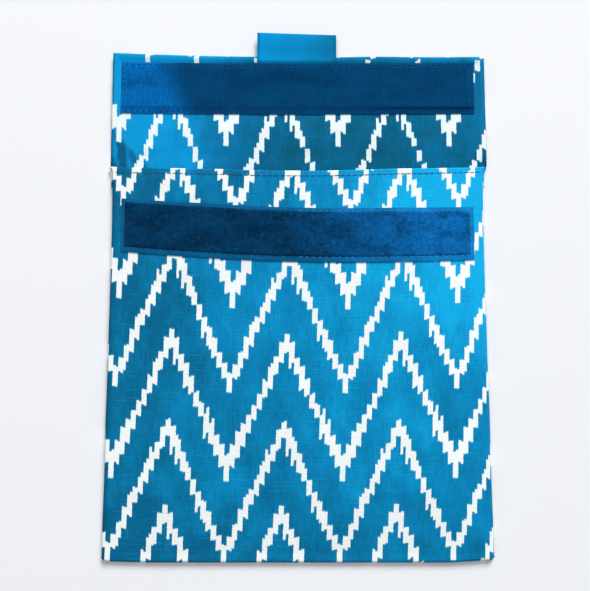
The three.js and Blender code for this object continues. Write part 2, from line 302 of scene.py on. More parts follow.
def make_piece(name, points, faces, material, uv, normals=None):
    """A smooth mesh object from points in millimetres."""
    mesh = bpy.data.meshes.new(name)
    mesh.from_pydata(to_frame(points).tolist(), [], [list(map(int, f)) for f in faces])
    layer = mesh.uv_layers.new(name="cloth")
    corner = np.zeros(len(mesh.loops), np.int32)
    mesh.loops.foreach_get("vertex_index", corner)
    layer.data.foreach_set("uv", np.array(uv, np.float32).reshape(-1, 2)[corner].ravel())
    mesh.shade_smooth()
    mesh.materials.append(material)
    mesh.update()
    if normals is not None:
        mesh.normals_split_custom_set_from_vertices(np.array(normals).reshape(-1, 3).tolist())
    piece = bpy.data.objects.new(name, mesh)
    bpy.context.scene.collection.objects.link(piece)
    return piece


def sheet_grid(rows):
    """The skin and the uv of a sheet. Each row gives its x, y, z, u and v, as arrays or single numbers."""
    grid = np.stack([np.stack(np.broadcast_arrays(*row), 1) for row in rows])
    return grid[..., :3], grid[..., 3:]


def grid_faces(rows, columns, first=0, flip=False):
    """Quads between the points of a grid."""
    index = first + np.arange(rows * columns).reshape(rows, columns)
    a, b = index[:-1, :-1].ravel(), index[:-1, 1:].ravel()
    c, d = index[1:, 1:].ravel(), index[1:, :-1].ravel()
    return np.stack([a, d, c, b] if flip else [a, b, c, d], 1)


def grid_normals(skin):
    """The direction that each point of a grid faces."""
    normal = np.cross(np.gradient(skin, axis=1), np.gradient(skin, axis=0))
    length = np.linalg.norm(normal, axis=2, keepdims=True)
    return normal / np.maximum(length, 1e-9)


def closed_sheet(name, skin, uv, thickness, material, up=True, normals=None):
    """A sheet of cloth: skin is its shown side, and the other side lies a thickness behind it."""
    rows, columns = skin.shape[:2]
    if normals is None:
        normals = grid_normals(skin)
    outward = normals if up else -normals
    back = skin - outward * thickness
    count = rows * columns
    faces = [grid_faces(rows, columns, 0, not up), grid_faces(rows, columns, count, up)]
    index = np.arange(count).reshape(rows, columns)
    ring = np.concatenate([index[0, :], index[1:, -1], index[-1, -2::-1], index[-2:0:-1, 0]])
    after = np.roll(ring, -1)
    walls = [after, ring, ring + count, after + count]
    faces.append(np.stack(walls if up else walls[::-1], 1))
    points = np.concatenate([skin.reshape(-1, 3), back.reshape(-1, 3)])
    both_uv = np.concatenate([uv.reshape(-1, 2), uv.reshape(-1, 2)])
    both_normals = np.concatenate([outward.reshape(-1, 3), -outward.reshape(-1, 3)])
    return make_piece(name, points, np.concatenate(faces), material, both_uv, both_normals)


def edge_stations(half, radius, spacing, last=ROLL_TURN, steps=8):
    """Stations across a sheet whose sides roll over: the place as a share, the roll angle and the side."""
    count = int(round((half - radius) / spacing)) + 1
    share = np.concatenate([np.linspace(0, 1, count), np.ones(steps)])
    angle = np.concatenate([np.zeros(count), np.radians(np.linspace(0, last, steps + 1))[1:]])
    share = np.concatenate([-share[:0:-1], share])
    return share, np.concatenate([angle[:0:-1], angle]), np.sign(share)


def tube_faces(count, stations, sides):
    """The quads of many tubes, and the numbers of their points by tube, station and side."""
    index = np.arange(count * stations * sides).reshape(count, stations, sides)
    after = np.roll(index, -1, axis=2)
    corners = [index[:, :-1], after[:, :-1], after[:, 1:], index[:, 1:]]
    return np.stack(corners, -1).reshape(-1, 4), index


def blend_front(piece, side):
    """Bakes the piece's transform into its points; it doesn't bend the piece."""
    sign = -1 if side == "left" else 1
    outer = sign * POUCH_HALF / 1000.0
    inner = sign * (POUCH_HALF - GAPE_REACH) / 1000.0
    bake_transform(piece)


def blend_fold(piece):
    """Bakes the piece's transform into its points; it doesn't bend the piece over the fold."""
    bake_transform(piece)


def split_at_middle(name, skin, uv, thickness, material, slot_name, nodes=(), up=True):
    """A sheet in a left and a right half. It hides the model's parts that the halves stand in for."""
    normals = grid_normals(skin)
    middle = skin.shape[1] // 2
    made = []
    for side, part in (("left", slice(0, middle + 1)), ("right", slice(middle, None))):
        piece = closed_sheet(
            f"{side}_{name}", skin[:, part], uv[:, part], thickness, material, up, normals[:, part]
        )
        blend_front(piece, side)
        made.append(piece)
    for node in nodes:
        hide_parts(node)
    return made


# Shader nodes.


def srgb(red, green, blue):
    """A colour from its 8 bit values, as the linear one that a shader takes."""
    shares = [value / 255 for value in (red, green, blue)]
    return (*[s / 12.92 if s <= 0.04045 else ((s + 0.055) / 1.055) ** 2.4 for s in shares], 1.0)


class Signal:
    """A value that varies over a surface. Arithmetic with it adds math nodes to its graph."""

    def __init__(self, graph, socket):
        self.graph = graph
        self.socket = socket

    def __add__(self, other):
        return self.graph.math("ADD", self, other)

    def __sub__(self, other):
        return self.graph.math("SUBTRACT", self, other)

    def __rsub__(self, other):
        return self.graph.math("SUBTRACT", other, self)

    def __mul__(self, other):
        return self.graph.math("MULTIPLY", self, other)

    def __truediv__(self, other):
        return self.graph.math("DIVIDE", self, other)

    def __abs__(self):
        return self.graph.math("ABSOLUTE", self)


class Graph:
    """A material under construction."""

    def __init__(self, name):
        self.material = bpy.data.materials.new(name)
        self.material.use_nodes = True
        self.tree = self.material.node_tree
        self.shader = self.tree.nodes["Principled BSDF"]

    def put(self, value, socket):
        if isinstance(value, Signal):
            self.tree.links.new(value.socket, socket)
        else:
            socket.default_value = value

    def node(self, kind, inputs, **settings):
        """The outputs of a new node. inputs gives what goes into it, by number or by name."""
        node = self.tree.nodes.new(kind)
        for key, value in settings.items():
            setattr(node, key, value)
        for key, value in inputs.items():
            self.put(value, node.inputs[key])
        return [Signal(self, socket) for socket in node.outputs]

    def math(self, operation, *values):
        return self.node("ShaderNodeMath", dict(enumerate(values)), operation=operation)[0]

    def ramp(self, value, low, high, start=0.0, end=1.0, kind="SMOOTHSTEP"):
        """From start at low to end at high, by an even curve."""
        inputs = dict(enumerate((value, low, high, start, end)))
        return self.node("ShaderNodeMapRange", inputs, interpolation_type=kind)[0]

    def line(self, value, low, high, start=0.0, end=1.0):
        """From start at low to end at high, straight."""
        return self.ramp(value, low, high, start, end, "LINEAR")

    def vector(self, x, y, z=0.0):
        return self.node("ShaderNodeCombineXYZ", {0: x, 1: y, 2: z})[0]

    def split(self, vector):
        return self.node("ShaderNodeSeparateXYZ", {0: vector})

    def noise(self, x, y, across, along, detail=2.0, roughness=0.5):
        """Soft noise, with this many lumps in a millimetre across and along."""
        inputs = {"Scale": 1.0, "Detail": detail, "Roughness": roughness}
        inputs["Vector"] = self.vector(x * across, y * along)
        return self.node("ShaderNodeTexNoise", inputs)[0]

    def wave(self, value, pitch):
        return self.math("SINE", value * (2 * math.pi / pitch))

    def dice(self, vector):
        """Three numbers from 0 to 1, picked anew for each whole step of the vector."""
        colour = self.node("ShaderNodeTexWhiteNoise", {"Vector": vector}, noise_dimensions="3D")[1]
        return self.split(colour)

    def mix(self, factor, first, second):
        """A colour between two others."""
        return self.node("ShaderNodeMix", {0: factor, 6: first, 7: second}, data_type="RGBA")[2]

    def uv(self):
        return self.split(self.node("ShaderNodeUVMap", {}, uv_map="cloth")[0])[:2]

    def bump(self, height, distance):
        """A relief of this many metres."""
        inputs = {"Strength": 1.0, "Distance": distance, "Height": height}
        self.put(self.node("ShaderNodeBump", inputs)[0], self.shader.inputs["Normal"])

    def finish(self, **values):
        for name, value in values.items():
            self.put(value, self.shader.inputs[name.replace("_", " ")])
        return self.material


def zigzag(g, u, v, slim, first_column, first_row, lean, stem):
    """The white of the print and its soft edge: upright bars, whose middles climb and fall in a zigzag."""
    shiver = g.noise(u, v, 0.07, 0.55, 3.0)
    across = u - (v * lean + first_column) + (shiver * 0.6 - 0.3)
    place = across / COLUMN
    column = g.math("FLOOR", place)
    within = place - (column + 0.5)

    # away counts the bars from a valley at 0 to the peak at 11. kind tells every second zigzag apart.
    number = g.math("FLOORED_MODULO", column, COLUMNS)
    away = g.math("MINIMUM", number, COLUMNS - number)
    turn = g.math("SIGN", COLUMNS / 2 - number) * g.math("MINIMUM", number, 1.0)
    wave = (v - (away * CLIMB + first_row)) / ROW
    row = g.math("ROUND", wave)
    kind = g.math("FLOORED_MODULO", row, 2.0)
    height = (wave - row) * ROW

    # Each bar and each half of a bar has its own chance lengths, and its ends slant.
    top_dice, bottom_dice, slant_dice = g.dice(g.vector(number, kind, 3.0))
    half = g.math("FLOORED_MODULO", g.math("FLOOR", place * 2.0), 2.0 * COLUMNS)
    fine_top, fine_bottom, _ = g.dice(g.vector(half, kind, 7.0))
    level = height - turn * within * (slant_dice * -1.3 + 0.1)

    # The legs are slimmer than the turns, and swell and shrink on their way.
    on_leg = g.ramp(away, 0.4, 1.6) * g.ramp(away, 10.6, 9.4)
    swell = g.math("COSINE", (away - 3.0) * (2 * math.pi / 5.2))
    full = on_leg * (0.9 - slim) + (swell * on_leg * 0.85 + 5.2)
    uneven = on_leg * 1.8 + 0.4

    # The upper ends: broad valleys in every second zigzag, cropped peaks and raised bars beside them.
    broad = (1.0 - kind) * g.ramp(away, 3.4, 1.6)
    cropped = g.ramp(away, 10.2, 10.8) * (kind * -0.9 - 0.5)
    beside = g.ramp(away, 9.2, 10.0) * g.ramp(away, 10.8, 10.4)
    rough = fine_top * 1.5 + g.math("GREATER_THAN", fine_top, 0.86) * 1.8
    reach_up = (top_dice - 0.5) * uneven + (full + rough)
    reach_up = reach_up + (broad * 2.9 + (beside * 1.7 + cropped - 0.8))

    # The lower ends: a foot and a barb that hang from half bars, and a stem under every second valley.
    foot = g.math("COMPARE", number, FOOT_COLUMN, 0.4) * (kind * 4.4)
    barb = g.math("COMPARE", number, BARB_COLUMN, 0.4) * 2.8
    hanging = g.math("LESS_THAN", within, 0.0) * (foot + barb)
    long = g.math("GREATER_THAN", fine_bottom, 0.86) * g.ramp(away, 1.2, 2.2, 0.0, 2.2)
    rough = fine_bottom * 1.5 + long
    reach_down = (bottom_dice - 0.5) * uneven + (full + rough)
    reach_down = reach_down + (hanging - 0.75)
    lowest = (1.0 - kind) * g.math("LESS_THAN", away, 0.5)
    reach_down = lowest * stem + reach_down

    inside = g.math("MINIMUM", reach_up - level, reach_down + level)
    inside = inside + (g.noise(u, v, 2.6, 0.8) * 0.7 - 0.35)
    return g.ramp(inside, -0.12, 0.2), g.ramp(inside, -0.9, 0.1)


def printed_cloth(name, layout, warp, painted_light_and_shade, colours, painted_edge_shade, mottled, slubs, weave, **finish):
    """Woven cloth with the zigzag print.

    layout says where the print starts, how it leans and how long its stems are. warp says how far the cloth
    pulls it aside and up, and how much slimmer its legs are. The function after warp paints light and shade,
    as a tone that is 0 for the deep and 1 for the bright blue. colours are the deep, middle and bright blue,
    the white and its edge. After them comes the painted shade of the rolled side edges.
    """
    g = Graph(name)
    u, v = g.uv()
    sideways, upward, slim = warp(g, u, v)
    white, halo = zigzag(g, u - sideways, v - upward, slim, **layout)
    deep, middle, bright, pale, edge = colours

    clouds = g.noise(u, v, 0.017, 0.011, 3.0, 0.55)
    mottle = g.noise(u, v, 0.07, 0.04)
    stripes = g.noise(u, v, 0.75, 0.16)
    # Painted light and shade from the function given, with random clouds, mottling and stripes of dye.
    tone_and_painted_light = painted_light_and_shade(g, u, v) + (clouds * 0.9 - 0.45)
    tone_and_painted_light = tone_and_painted_light + (mottle * mottled - 0.5 * mottled) + (stripes * 0.5 - 0.25)
    blue = g.mix(g.line(tone_and_painted_light, 0.0, 0.5), deep, middle)
    blue = g.mix(g.line(tone_and_painted_light, 0.5, 1.0), blue, bright)

    # Thick threads, flecks and dull threads.
    streaks = g.noise(u, v, 0.05, 1.9, 3.0, 0.6)
    blue = g.mix(g.ramp(streaks, 0.56, 0.76, 0.0, slubs), blue, bright)
    blue = g.mix(g.ramp(streaks, 0.44, 0.27, 0.0, slubs), blue, deep)
    cell = g.vector(g.math("FLOOR", u / WARP_PITCH), g.math("FLOOR", v / WEFT_PITCH))
    fleck_dice, dull_dice, _ = g.dice(cell)
    blue = g.mix(g.math("GREATER_THAN", fleck_dice, 0.996) * (slubs * 0.3), blue, edge)
    blue = g.mix(dull_dice * (slubs * 0.22), blue, deep)

    # Painted shade along the rolled side edges.
    for start, end, depth in painted_edge_shade:
        blue = g.mix(g.ramp(u, start, end, 0.0, depth), blue, EDGE_SHADE_BLUE)
    blue = g.mix(halo * 0.45, blue, edge)
    shade = g.ramp(g.noise(u, v, 0.11, 0.8), 0.45, 0.7, 0.0, 0.05)
    colour = g.mix(shade * white, g.mix(white, blue, pale), edge)

    threads = g.wave(u, WARP_PITCH) * g.wave(v, WEFT_PITCH)
    lumps = g.noise(u, v, 0.35, 0.9, 4.0, 0.65)
    g.bump(threads * 0.5 + (streaks * 5.0 - 2.5) * 0.6 + lumps * 1.2, weave / 1000.0)
    return g.finish(Base_Color=colour, **finish)


def canvas_warp(g, u, v):
    """The print isn't quite true to the weave: it bows upward at the sides and stretches over the middle."""
    # Both run from -1 to 1 over the panel below the loop tape.
    across = u / 100.0
    along = (v - 81.0) / 78.0
    size = abs(along)
    near = g.math("MINIMUM", size, 1.0)
    beyond = g.math("MAXIMUM", size - 1.0, 0.0)
    lift = beyond * 2.2 + (near * near * 2.8 + 1.83)
    side = across * across * (along * 0.6 + 2.35)
    skew = across * along * -1.05
    right = g.line(u, 26.0, 100.0, -0.2, -2.3) + g.line(u, 96.0, 103.0, 0.0, -1.5)
    left = g.line(u, 20.0, -90.0, 0.0, 0.012) * (60.0 - v)
    from_peak = g.math("PINGPONG", u - (v * 0.035 - 38.7), PERIOD / 2)
    return from_peak * (-2.2 / PERIOD) + (left + right), lift + (side + skew), 1.55


def lining_warp(g, u, v):
    """The lining's print is stretched along the bag, climbs at its left end and leans left of its middle."""
    stretch = v * 0.105 - 0.105 * 229.0
    climb = g.line(u, -35.0, -100.0, -0.7, 1.4)
    sideways = g.line(u, -100.0, -76.0, 0.0, -2.3) + g.line(u, -76.0, 50.0, 0.0, 2.3)
    return sideways, stretch + climb, g.ramp(u, -30.0, 60.0, 1.9, 2.9)


def canvas_painted_light_and_shade(g, u, v):
    """Painted light from the upper right: deeper on the left and along the bottom fold, palest at the upper
    right.
    """
    # Painted light from the right: deeper on the left, away from the key light.
    across = g.line(u, -105.0, 30.0, 0.02, 0.52) + g.line(u, 30.0, 100.0, 0.0, 0.04)
    # Painted light from the upper right makes that corner palest.
    corner = g.ramp(u, -15.0, 85.0) * g.ramp(v, 85.0, 155.0)
    patch = g.ramp(abs(u + 31.0), 42.0, 6.0) * g.ramp(abs(v - 141.0), 48.0, 12.0)
    # Painted shade: darker low on the right and towards the bottom fold.
    lower = g.ramp(u, 50.0, 85.0) * g.ramp(v, 92.0, 62.0)
    fold_shade = g.ramp(v, 45.0, 2.0, 0.0, -0.2)
    return corner * 0.5 + across + patch * 0.24 + lower * -0.17 + fold_shade


def lining_painted_light_and_shade(g, u, v):
    """Painted light on the lining: a sheen on the left, deepest right of the middle, shade in the mouth's
    corners.
    """
    # Painted sheen: brighter towards the left.
    left = g.ramp(u, -5.0, -90.0, 0.0, 0.9)
    right = g.ramp(u, 92.0, 102.0, 0.04, 0.32)
    far = g.ramp(v, 269.0, 273.0, 0.06, 0.46)
    # Painted shade of the tucks in the corners of the mouth.
    above = v - 214.0
    corner = g.math("MAXIMUM", g.ramp(u + above, -82.0, -91.0), g.ramp(u - above, 89.0, 96.0))
    tuck = g.noise(u, v + u, 0.12, 0.05)
    return left + right + (far + corner * g.ramp(tuck, 0.36, 0.58, -1.3, -0.15))


def tape_material(name, colours, grain, painted_light_span, shade_band=None, **finish):
    """Napped or woven nylon tape with a mottled dye.

    colours are the deep, middle and bright blue. grain is the tufts' number in a millimetre across and along,
    and their relief. After grain comes where painted light starts and ends on the tape, and the lit colour
    that it turns to. A band of painted shade at the foot of the hooks lies along the middle given last, if
    any.
    """
    g = Graph(name)
    u, v = g.uv()
    deep, middle, bright = colours
    tufts_across, tufts_along, relief = grain
    start, end, painted_lit_colour = painted_light_span
    patches = g.noise(u, v, 0.05, 0.09, 4.0, 0.6)
    tufts = g.noise(u, v, tufts_across, tufts_along, 3.0, 0.65)
    colour = g.mix(g.ramp(patches, 0.35, 0.65), deep, middle)
    colour = g.mix(g.ramp(tufts, 0.52, 0.78), colour, bright)
    colour = g.mix(g.ramp(tufts, 0.46, 0.26, 0.0, 0.7), colour, deep)
    # Painted light: the tape turns to the lit colour over its span.
    painted_lit_side = g.ramp(u + v * 0.33 + patches * 16.0, start, end)
    patchy = g.ramp(tufts, 0.2, 0.75, 0.4, 1.0) * g.ramp(patches, 0.36, 0.56, 0.62, 1.08)
    colour = g.mix(painted_lit_side * patchy, colour, painted_lit_colour)
    # Painted shade in a band at the foot of the hooks, stronger on the right.
    if shade_band:
        wander = g.noise(u, 4.0, 0.06, 1.0)
        off = v - (wander * 1.2 + (shade_band - 0.6))
        painted_shade_weight = g.ramp(u, 20.0, 62.0, 0.32, 0.85) * g.ramp(patches, 0.3, 0.6, 0.6, 1.0)
        colour = g.mix(g.ramp(abs(off), 1.7, 0.3) * painted_shade_weight, colour, SHADE_BAND_BLUE)
    g.bump(tufts + g.noise(u, v, 3.0, 2.4, 3.0, 0.6), relief / 1000.0)
    return g.finish(Base_Color=colour, **finish)


def satin_material():
    """Woven ribbon: fine ribs across it and a corded edge along both sides."""
    g = Graph("satin_ribbon")
    u, v = g.uv()
    rib = g.wave(v, 0.36)
    cord = g.wave(u, 0.42)
    side = g.ramp(abs(u), TAB_HALF - 1.7, TAB_HALF - 1.2)
    fuzz = g.noise(u, v, 2.2, 7.0)
    # Painted sheen: the ribbon is brighter towards its left side.
    tone_and_painted_light = g.noise(u, v, 0.06, 0.05, 3.0) * 0.5 + g.line(u, 22.0, -21.0, 0.05, 0.5)
    colour = g.mix(g.line(tone_and_painted_light, 0.25, 0.75), srgb(2, 122, 172), srgb(1, 154, 224))
    colour = g.mix(g.ramp(fuzz, 0.5, 0.75, 0.0, 0.35), colour, srgb(30, 164, 224))
    colour = g.mix(side * 0.5, colour, srgb(2, 112, 170))
    g.bump(rib * (1.0 - side) + cord * side * 2.0 + fuzz, THREAD_RELIEF)
    return g.finish(Base_Color=colour, Roughness=0.45, Specular_IOR_Level=0.02, Anisotropic=0.4)


def thread_material(name, dark, light):
    """Spun sewing thread with its twist."""
    g = Graph(name)
    u, v = g.uv()
    twist = g.math("SINE", u * 9.0 + v * (2 * math.pi))
    hair = g.noise(u, v, 3.0, 5.0)
    colour = g.mix(g.ramp(twist, -0.8, 0.9), dark, light)
    colour = g.mix(g.ramp(hair, 0.5, 0.8, 0.0, 0.5), colour, dark)
    g.bump(twist, THREAD_RELIEF)
    return g.finish(Base_Color=colour, Roughness=0.7, Specular_IOR_Level=0.2)


# The colour of the painted shade on the rolled side edges.
EDGE_SHADE_BLUE = srgb(2, 66, 96)
# The colour of the painted shade at the foot of the hooks.
SHADE_BAND_BLUE = srgb(0, 36, 82)
THREAD_RELIEF = 0.00003

canvas = printed_cloth(
    "printed_canvas",
    dict(first_column=-40.1, first_row=45.95, lean=0.035, stem=1.7),
    canvas_warp,
    canvas_painted_light_and_shade,
    (srgb(6, 104, 146), srgb(9, 142, 199), srgb(20, 182, 242), srgb(249, 255, 255), srgb(110, 204, 236)),
    # Painted shade on the rolled side edges, darkest on the left, away from the key light.
    painted_edge_shade=((-97.5, -103.5, 0.75), (100.5, 103.5, 0.12)),
    mottled=0.8,
    slubs=0.5,
    weave=0.05,
    Roughness=0.85,
    Specular_IOR_Level=0.06,
)
lining = printed_cloth(
    "wipe_clean_lining",
    dict(first_column=-39.9, first_row=-48.4, lean=0.0, stem=0.2),
    lining_warp,
    lining_painted_light_and_shade,
    (srgb(6, 94, 128), srgb(6, 122, 176), srgb(8, 156, 220), srgb(238, 250, 251), srgb(90, 190, 228)),
    # Painted shade on the rolled side edges of the flap and the back.
    painted_edge_shade=((-101.6, -103.8, 0.8), (102.4, 104.2, 0.6)),
    mottled=0.75,
    slubs=0.3,
    weave=0.04,
    Roughness=0.5,
    Specular_IOR_Level=0.025,
    Coat_Weight=0.01,
    Coat_Roughness=0.2,
)
loop_pile = tape_material(
    "loop_pile",
    (srgb(3, 46, 78), srgb(5, 61, 102), srgb(10, 77, 124)),
    (0.45, 0.32, 0.16),
    # Painted light: brighter towards the right, where the key light is.
    (-9.8, 102.2, srgb(10, 120, 202)),
    Roughness=0.95,
    Specular_IOR_Level=0.04,
    Sheen_Weight=0.01,
)
loop_base = tape_material(
    "loop_base",
    (srgb(5, 82, 128), srgb(6, 96, 146), srgb(20, 124, 176)),
    (1.8, 0.7, 0.06),
    # Painted light: brighter towards the right, where the key light is.
    (-2.8, 96.2, srgb(12, 138, 212)),
    Roughness=0.8,
    Specular_IOR_Level=0.05,
)
loop_fibre = tape_material(
    "loop_fibre",
    (srgb(6, 62, 104), srgb(12, 84, 134), srgb(36, 118, 166)),
    (0.9, 0.8, 0.01),
    # Painted light: brighter towards the right, where the key light is.
    (2.2, 92.2, srgb(40, 148, 216)),
    Roughness=0.8,
    Specular_IOR_Level=0.05,
)
hook_base, hook_nylon = [
    tape_material(
        name,
        (srgb(2, 64, 108), srgb(2, 74, 122), srgb(3, 80, 132)),
        grain,
        # Painted sheen: brighter towards the tape's left end.
        (34.0, 16.0, srgb(3, 116, 196)),
        # Painted shade at the foot of the hooks, near the tape's lower edge.
        shade_band=HOOK_START + 3.2,
        Roughness=roughness,
        Specular_IOR_Level=0.015,
    )
    for name, grain, roughness in (
        ("hook_base", (0.9, 0.2, 0.02), 0.5),
        ("hook_nylon", (0.4, 0.3, 0.004), 0.45),
    )
]
satin = satin_material()
blue_thread = thread_material("blue_thread", srgb(8, 72, 116), srgb(24, 110, 156))
# A paler copy of the blue thread, as painted light.
painted_lit_thread = thread_material("painted_lit_thread", srgb(30, 128, 190), srgb(96, 184, 226))
navy_thread = thread_material("navy_thread", srgb(2, 44, 86), srgb(6, 64, 114))
brown_thread = thread_material("brown_thread", srgb(44, 56, 66), srgb(84, 86, 88))


# The outer cloth.


def front_grid():
    """The front cloth: from under the bottom fold, round it, up to the mouth and 10 mm back inside."""
    share, angle, side = edge_stations(POUCH_HALF, SIDE_ROLL, spacing=1.3)
    squeeze = np.cos(angle)
    edge = MOUTH - MOUTH_ROLL

    def row(y, v, z=None, drop=0.0):
        """A row at a height of its own, or this far below the top of the front."""
        flat = share * (half_width(np.maximum(y, 0)) - SIDE_ROLL)
        x = flat + side * SIDE_ROLL * np.sin(angle)
        u = flat + side * SIDE_ROLL * angle
        y = y + corner_rise(x, y)
        if z is None:
            inner_x = np.clip(x, -POUCH_HALF + 1, POUCH_HALF - 1)
            y = y - cloth_sag(inner_x, np.minimum(y, MOUTH))
            z = front_height(inner_x, np.minimum(y, edge - cloth_sag(inner_x, edge))) - drop
        return x, y, SEAM_HEIGHT + (z - SEAM_HEIGHT) * squeeze, u, v

    rows = []
    for y in np.linspace(BACK_START, SEAM_HEIGHT, 4)[:-1]:
        rows.append(row(y, (2 - math.pi) * SEAM_HEIGHT - y, z=0.0))
    for turn in np.radians(np.linspace(180, 0, 13)):
        y = SEAM_HEIGHT * (1 - math.sin(turn) * np.clip(squeeze, 0, 1))
        rows.append(row(y, SEAM_HEIGHT * (1 - turn), z=SEAM_HEIGHT * (1 + math.cos(turn))))
    for y in np.linspace(SEAM_HEIGHT, edge, 172)[1:]:
        rows.append(row(y, y))
    for turn in np.radians(np.linspace(0, 180, 11))[1:]:
        y, drop = edge + MOUTH_ROLL * math.sin(turn), MOUTH_ROLL * (1 - math.cos(turn))
        rows.append(row(y, edge + MOUTH_ROLL * turn, drop=drop))
    for depth in np.linspace(0, TURN_IN, 8)[1:]:
        rows.append(row(edge - depth, edge + MOUTH_ROLL * math.pi + depth, drop=2 * MOUTH_ROLL))
    return sheet_grid(rows)


front_pieces = split_at_middle(
    "front_cloth",
    *front_grid(),
    CLOTH,
    canvas,
    "canvas",
    ["front_outer", "mouth_turn_in", "bottom_fold", "left_front_side", "right_front_side"],
)


def strip_rows(first, count):
    """The rows of a strip over the back and the flap: the place, and the roll round the flap's edge."""
    last = FLAP_EDGE - FLAP_ROLL
    roll = np.radians(np.linspace(0, ROLL_TURN, 9))[1:]
    return [(y, 0.0) for y in np.linspace(first, last, count)] + [(last, turn) for turn in roll]


def back_grid():
    """The outer cloth of the back and the flap, in one strip, seen from below."""
    share, angle, side = edge_stations(POUCH_HALF, SIDE_ROLL, spacing=1.7)
    u = share * (POUCH_HALF - SIDE_ROLL) + side * SIDE_ROLL * angle
    rows = []
    for y, turn in strip_rows(BACK_START, 176):
        on_flap = smooth(207, 213, y)
        radius = SIDE_ROLL + (FLAP_ROLL - SIDE_ROLL) * on_flap
        seam = SEAM_HEIGHT + (FLAP_SEAM_HEIGHT - SEAM_HEIGHT) * on_flap
        x = aside(y) + share * (half_width(y) - radius) + side * radius * np.sin(angle)
        z = seam * (1 - np.cos(angle) * math.cos(turn)) + flap_lift(x, y)
        v = (2 - math.pi) * SEAM_HEIGHT - y - FLAP_ROLL * turn
        rows.append((x, slanted(x, y) + FLAP_ROLL * math.sin(turn), z, u, v))
    return sheet_grid(rows)


back_cloth = closed_sheet("back_and_flap_cloth", *back_grid(), CLOTH, canvas, up=False)
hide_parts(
    "back_outer",
    "flap_outer",
    "left_side_seam",
    "right_side_seam",
    "flap_left_allowance",
    "flap_right_allowance",
    "flap_edge_allowance",
)
blend_fold(back_cloth)


# The lining.


def lining_grid():
    """The lining of the back and the flap, in one strip, seen from above."""
    share, angle, side = edge_stations(POUCH_HALF, FLAP_ROLL, spacing=1.3)
    rows = []
    for y, turn in strip_rows(LINING_START, 210):
        half = LINING_HALF + (half_width(y) - LINING_HALF) * smooth(202, 209.5, y)
        seam = LINING_TOP + (FLAP_SEAM_HEIGHT - LINING_TOP) * smooth(205, 212, y)
        flat = share * (half - FLAP_ROLL)
        x = aside(y) + flat + side * FLAP_ROLL * np.sin(angle)
        line = slanted(x, y)
        end = line + FLAP_ROLL * math.sin(turn)
        top = lining_height(x, line) - flap_lift(x, line)
        z = seam + (top - seam) * np.cos(angle) * math.cos(turn) + flap_lift(x, end)
        rows.append((x, end, z, flat + side * FLAP_ROLL * angle, y + FLAP_ROLL * turn))
    return sheet_grid(rows)


back_lining = closed_sheet("back_and_flap_lining", *lining_grid(), LINING, lining)
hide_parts("back_lining", "flap_lining")
blend_fold(back_lining)


def front_lining_grid():
    """The lining of the front, seen from inside the pouch. It runs clear of the back lining below it."""
    share, angle, side = edge_stations(LINING_HALF, LINING_ROLL, spacing=1.9, last=60.0, steps=3)
    x = share * (LINING_HALF - LINING_ROLL) + side * LINING_ROLL * np.sin(angle)
    free = smooth(0, 5, LINING_HALF - np.abs(x))
    last, radius = MOUTH - 1.1, 0.5
    lowest = LINING_TOP + 0.12
    places = [(y, 0.0) for y in np.linspace(LINING_START, last, 130)]
    places += [(last, turn) for turn in np.radians(np.linspace(0, 100, 7))[1:]]
    rows = []
    for y, turn in places:
        line = y - cloth_sag(x, y) + corner_rise(x, y)
        behind = 1.35 + 0.95 * smooth(MOUTH - TURN_IN - 3, MOUTH - TURN_IN, y)
        top = lowest + np.maximum(front_height(x, line) - behind - lowest, 0) * free
        z = top + radius * (1 - math.cos(turn))
        rows.append((x, line + radius * math.sin(turn), z, x, y + radius * turn))
    return sheet_grid(rows)


inner_pieces = split_at_middle(
    "front_lining", *front_lining_grid(), LINING, lining, "lining", ["front_lining"], up=False
)


# Stitches.


def stitches(name, path, length, material, stitch, gap, radius):
    """A row of sewn stitches. path gives the place on the surface at a distance."""
    count = max(1, int(length / (stitch + gap)))
    step = length / count
    stations, sides = 7, 6
    bow = np.sin(np.linspace(0, math.pi, stations))
    size = radius * (0.55 + 0.45 * bow)
    up = np.array([0.0, 0.0, 1.0])
    points, uv = [], []
    for n in range(count):
        along = n * step + gap / 2 + (step - gap) * np.linspace(0, 1, stations)
        centre = np.array([path(s) for s in along])
        ahead = np.gradient(centre, axis=0)
        ahead /= np.linalg.norm(ahead, axis=1, keepdims=True)
        across = np.cross(ahead, up)
        centre[:, 2] += radius * (1.3 * bow - 0.75)
        for k in range(stations):
            for a in range(sides):
                turn = 2 * math.pi * a / sides
                offset = across[k] * math.cos(turn) + up * math.sin(turn)
                points.append(centre[k] + offset * size[k])
                uv.append((along[k], a / sides))
    faces, index = tube_faces(count, stations, sides)
    return make_piece(name, points, [*faces, *index[:, 0, ::-1], *index[:, -1]], material, uv)


def half_ring(name, side, bounds, offset, height, material, measures):
    """Stitches along the lower edge, the upper edge and the end of one half of a tape.

    bounds are the ring's middle and half width, its lower and its upper line. offset moves the lines.
    """
    centre, half, low, high = bounds
    sign = -1 if side == "left" else 1

    def place(s, line):
        x = centre + sign * s
        y = line + offset(x)
        return [x, y, height(x, y)]

    paths = (
        (lambda s: place(s, low), half),
        (lambda s: place(s, high), half),
        (lambda s: place(half, low + s), high - low),
    )
    return [
        stitches(f"{name}_{side}_{n}", path, length, material, **measures)
        for n, (path, length) in enumerate(paths)
    ]


def join_pieces(name, made):
    """Several meshes of one material as one piece."""
    bpy.context.view_layer.update()
    with bpy.context.temp_override(
        active_object=made[0], object=made[0], selected_objects=made, selected_editable_objects=made
    ):
        bpy.ops.object.join()
    made[0].name = name
    made[0].data.name = name
    return made[0]


